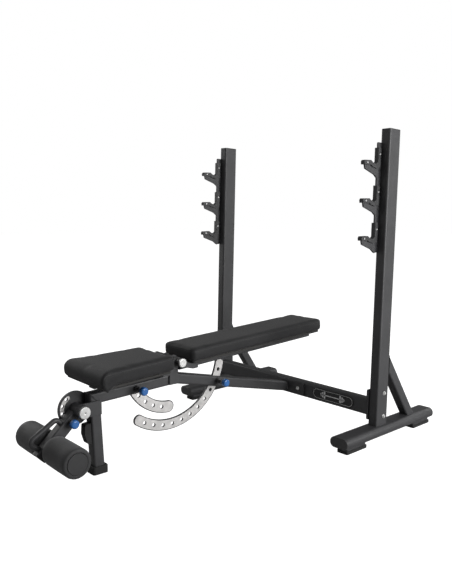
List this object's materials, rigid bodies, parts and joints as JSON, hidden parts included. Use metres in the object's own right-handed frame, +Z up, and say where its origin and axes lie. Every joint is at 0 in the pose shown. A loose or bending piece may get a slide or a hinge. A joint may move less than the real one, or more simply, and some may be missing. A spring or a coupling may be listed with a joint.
{
  "type": "olympic bench press",
  "caption": "Adjustable olympic weight bench with leaning uprights, stepped bar rests, tilting seat and backrest, and a foam-roller leg hold-down.",
  "frame": {"origin": "on the floor, at the middle of the machine's footprint", "axes": "+Z up, +Y from the leg hold-down towards the uprights, +X to the side of the pull-pin knobs"},
  "size_m": [1.23, 1.9384, 1.4791],
  "materials": {
    "powder_coat": "satin powder coat",
    "black_plastic": "moulded satin",
    "rubber": "matt",
    "foam": "closed-cell foam",
    "vinyl": "fine-grained upholstery vinyl",
    "bright_steel": "bright zinc",
    "index_strip": "brushed",
    "blue_knob": "gloss",
    "board": "black-painted plywood"
  },
  "bodies": {
    "frame": {"main_beam": "powder_coat", "front_post": "powder_coat", "front_boot": "rubber", "beam_flange": "powder_coat", "frame_bolts": "bright_steel", "crossbar": "powder_coat", "crossbar_plates": "powder_coat", "upright_left": "powder_coat", "upright_right": "powder_coat", "upright_caps": "black_plastic", "foot_tube_left": "powder_coat", "foot_tube_right": "powder_coat", "foot_caps": "black_plastic", "foot_pads": "rubber", "foot_pad_plates": "powder_coat", "braces": "powder_coat", "hook_plate_left": "powder_coat", "hook_plate_right": "powder_coat", "hook_liners": "black_plastic", "liner_screws": "bright_steel", "yoke_plates": "powder_coat", "pivot_shaft": "bright_steel", "pivot_caps": "bright_steel", "leg_index_plate": "powder_coat", "leg_index_strip": "index_strip", "leg_ear_plate": "powder_coat", "leg_pivot_shaft": "bright_steel", "leg_pivot_caps": "bright_steel", "arm_bumper": "rubber", "seat_pin_barrel": "powder_coat", "back_pin_barrel": "powder_coat", "badge": "black_plastic"},
    "seat": {"seat_pad": "vinyl", "seat_board": "board", "seat_frame": "powder_coat", "seat_hinge_plates": "powder_coat", "seat_arc": "powder_coat", "seat_arc_strip": "index_strip"},
    "backrest": {"back_pad": "vinyl", "back_board": "board", "back_frame": "powder_coat", "back_end_cap": "black_plastic", "back_hinge_plates": "powder_coat", "back_arc": "powder_coat", "back_arc_strip": "index_strip"},
    "leg_arm": {"leg_arm": "powder_coat", "arm_end_cap": "black_plastic", "arm_handle": "powder_coat", "roller_axle": "powder_coat", "leg_pin_barrel": "powder_coat"},
    "seat_pin": {"seat_plunger": "bright_steel", "seat_knob": "blue_knob"},
    "back_pin": {"back_plunger": "bright_steel", "back_knob": "blue_knob"},
    "leg_pin": {"leg_plunger": "bright_steel", "leg_knob": "blue_knob"},
    "roller_left": {"roller_left": "foam", "roller_cap_left": "black_plastic"},
    "roller_right": {"roller_right": "foam", "roller_cap_right": "black_plastic"}
  },
  "joints": [
    {"name": "back_tilt", "type": "hinge", "parent": "frame", "child": "backrest", "pos_m": [0, -0.2858, 0.43], "axis": [1, 0, 0], "range_deg": [-10, 90]},
    {"name": "seat_tilt", "type": "hinge", "parent": "frame", "child": "seat", "pos_m": [0, -0.2858, 0.43], "axis": [1, 0, 0], "range_deg": [-51.3, 0]},
    {"name": "leg_arm_swing", "type": "hinge", "parent": "frame", "child": "leg_arm", "pos_m": [0, -0.7538, 0.2895], "axis": [1, 0, 0], "range_deg": [-93, 0]},
    {"name": "seat_pin_slide", "type": "slide", "parent": "frame", "child": "seat_pin", "axis": [1, 0, 0], "range_m": [-0.014, 0]},
    {"name": "back_pin_slide", "type": "slide", "parent": "frame", "child": "back_pin", "axis": [1, 0, 0], "range_m": [-0.014, 0]},
    {"name": "leg_pin_slide", "type": "slide", "parent": "leg_arm", "child": "leg_pin", "axis": [1, 0, 0], "range_m": [-0.014, 0]},
    {"name": "roller_left_spin", "type": "hinge", "parent": "leg_arm", "child": "roller_left", "pos_m": [0, -0.87429, 0.15604], "axis": [1, 0, 0], "continuous": true},
    {"name": "roller_right_spin", "type": "hinge", "parent": "leg_arm", "child": "roller_right", "pos_m": [0, -0.87429, 0.15604], "axis": [1, 0, 0], "continuous": true}
  ]
}
